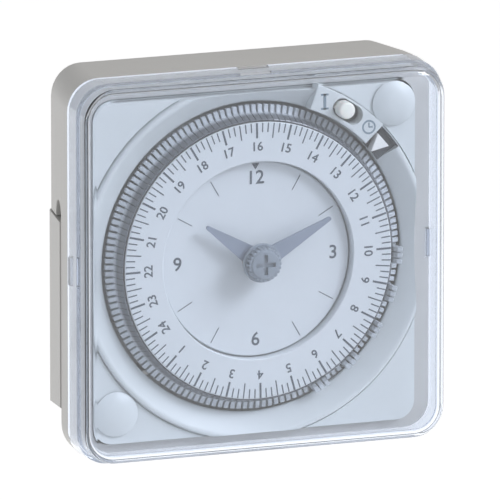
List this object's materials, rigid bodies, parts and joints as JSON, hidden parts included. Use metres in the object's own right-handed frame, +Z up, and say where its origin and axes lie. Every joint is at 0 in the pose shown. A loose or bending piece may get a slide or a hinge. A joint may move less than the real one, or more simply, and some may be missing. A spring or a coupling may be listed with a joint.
{
  "type": "analogue programmable timer",
  "caption": "Square analogue 24-hour time switch with a clear cover, tappet dial, clock hands, override slider, rear terminals and a rail foot.",
  "frame": {"origin": "centre of the bounding box", "axes": "+X to the right and +Z up when facing the dial, +Y from the dial towards the wall"},
  "size_m": [0.072, 0.0434, 0.072],
  "materials": {
    "case_plastic": "fine satin, warm light grey",
    "clear_plastic": "polished clear polycarbonate",
    "plate_plastic": "satin pale grey",
    "dial_plastic": "satin white, printed",
    "tappet_plastic": "smoked translucent grey",
    "hand_plastic": "satin blue-grey",
    "knob_plastic": "satin grey",
    "cream_plastic": "satin cream",
    "white_plastic": "satin white",
    "nylon": "natural",
    "frame_plastic": "plain light grey",
    "dark_plastic": "matt dark grey",
    "block_plastic": "matt mid grey",
    "steel": "zinc plated",
    "brass": "plain",
    "winding": "varnished copper winding",
    "board": "green solder mask"
  },
  "bodies": {
    "housing": {"case": "case_plastic", "rail_foot": "case_plastic", "foot_screw_left": "steel", "foot_screw_right": "steel", "terminal_block": "block_plastic", "terminal_clamp_1": "brass", "terminal_clamp_2": "brass", "terminal_clamp_3": "brass", "terminal_clamp_4": "brass", "terminal_clamp_5": "brass", "terminal_screw_1": "steel", "terminal_screw_2": "steel", "terminal_screw_3": "steel", "terminal_screw_4": "steel", "terminal_screw_5": "steel", "terminal_cover_screw": "steel", "front_plate": "plate_plastic", "screw_cap_upper_right": "plate_plastic", "screw_cap_lower_left": "plate_plastic", "fixing_screw_upper_right": "steel", "fixing_screw_lower_left": "steel", "time_pointer": "white_plastic", "clock_face": "dial_plastic", "frame_front": "frame_plastic", "frame_rear": "frame_plastic", "motor_gearcase": "dark_plastic", "stator": "steel", "coil": "winding", "circuit_board": "board", "reserve_cell": "steel", "capacitor": "dark_plastic", "quartz_can": "steel", "switch_body": "dark_plastic", "fixed_contact": "brass"},
    "cover": {"clear_cover": "clear_plastic"},
    "lower_cover": {"terminal_cover": "case_plastic"},
    "clip": {"rail_clip": "nylon"},
    "slider": {"override_slider": "cream_plastic"},
    "minute": {"minute_arbor": "brass", "minute_hand": "hand_plastic", "setting_knob": "knob_plastic"},
    "hour": {"hour_wheel": "nylon", "hour_hand": "hand_plastic"},
    "motion": {"motion_wheel": "nylon"},
    "day": {"day_wheel": "nylon"},
    "drive": {"drive_pinion": "nylon"},
    "dial": {"program_dial": "dial_plastic", "dial_gear": "nylon", "tappet_ring": "tappet_plastic"},
    "set_10": {"tappet_set_10_oclock": "tappet_plastic"},
    "set_9": {"tappet_set_9_oclock": "tappet_plastic"},
    "set_8": {"tappet_set_8_oclock": "tappet_plastic"},
    "set_7": {"tappet_set_7_oclock": "tappet_plastic"},
    "set_6": {"tappet_set_6_oclock": "tappet_plastic"},
    "lever": {"sensing_lever": "nylon"},
    "leaf": {"moving_contact": "brass"}
  },
  "joints": [
    {"name": "cover_lift_off", "type": "slide", "parent": "housing", "child": "cover", "axis": [0, -1, 0], "range_m": [0, 0.03]},
    {"name": "lower_cover_lift_off", "type": "slide", "parent": "housing", "child": "lower_cover", "axis": [0, 0, -1], "range_m": [0, 0.03]},
    {"name": "clip_release", "type": "slide", "parent": "housing", "child": "clip", "axis": [0, 0, -1], "range_m": [0, 0.003], "stiffness_N_per_m": 1000},
    {"name": "slider_travel", "type": "slide", "parent": "housing", "child": "slider", "axis": [0.8329, 0, -0.5534], "range_m": [0, 0.0026]},
    {"name": "minute_turn", "type": "hinge", "parent": "housing", "child": "minute", "pos_m": [0, -0.0163, 0], "axis": [0, 1, 0], "continuous": true},
    {"name": "hour_turn", "type": "hinge", "parent": "housing", "child": "hour", "pos_m": [0, -0.0163, 0], "axis": [0, 1, 0], "continuous": true},
    {"name": "motion_turn", "type": "hinge", "parent": "housing", "child": "motion", "pos_m": [0, -0.0033, 0.0108], "axis": [0, 1, 0], "continuous": true},
    {"name": "day_turn", "type": "hinge", "parent": "housing", "child": "day", "pos_m": [0.012, -0.0063, 0], "axis": [0, 1, 0], "continuous": true},
    {"name": "dial_turn", "type": "hinge", "parent": "housing", "child": "dial", "pos_m": [0, -0.0163, 0], "axis": [0, 1, 0], "continuous": true},
    {"name": "drive_turn", "type": "hinge", "parent": "housing", "child": "drive", "pos_m": [-0.01418, -0.0013, 0.0025], "axis": [0, 1, 0], "continuous": true},
    {"name": "set_10_tip", "type": "hinge", "parent": "dial", "child": "set_10", "pos_m": [0.02691, -0.01215, -0.00139], "axis": [-0.0515, 0, -0.9987], "range_deg": [0, 34]},
    {"name": "set_9_tip", "type": "hinge", "parent": "dial", "child": "set_9", "pos_m": [0.02564, -0.01215, -0.00831], "axis": [-0.3082, 0, -0.9513], "range_deg": [0, 34]},
    {"name": "set_8_tip", "type": "hinge", "parent": "dial", "child": "set_8", "pos_m": [0.02261, -0.01215, -0.01466], "axis": [-0.5439, 0, -0.8391], "range_deg": [0, 34]},
    {"name": "set_7_tip", "type": "hinge", "parent": "dial", "child": "set_7", "pos_m": [0.01805, -0.01215, -0.02001], "axis": [-0.7426, 0, -0.6698], "range_deg": [0, 34]},
    {"name": "set_6_tip", "type": "hinge", "parent": "dial", "child": "set_6", "pos_m": [0.01226, -0.01215, -0.024], "axis": [-0.8906, 0, -0.4548], "range_deg": [0, 34]},
    {"name": "lever_tilt", "type": "hinge", "parent": "housing", "child": "lever", "pos_m": [0.01901, -0.0048, 0.01561], "axis": [-0.6347, 0, 0.7727], "range_deg": [0, 5], "stiffness_Nm_per_rad": 0.002},
    {"name": "leaf_bend", "type": "hinge", "parent": "housing", "child": "leaf", "pos_m": [0.0177, -0.0046, 0.01454], "axis": [-0.6347, 0, 0.7727], "range_deg": [0, 5]}
  ],
  "couplings": [
    {"joint": "minute_turn", "follows": "dial_turn", "ratio": 24},
    {"joint": "motion_turn", "follows": "dial_turn", "ratio": -8},
    {"joint": "hour_turn", "follows": "dial_turn", "ratio": 2},
    {"joint": "day_turn", "follows": "dial_turn", "ratio": -2},
    {"joint": "drive_turn", "follows": "dial_turn", "ratio": -48},
    {"joint": "leaf_bend", "follows": "lever_tilt", "ratio": 1}
  ]
}
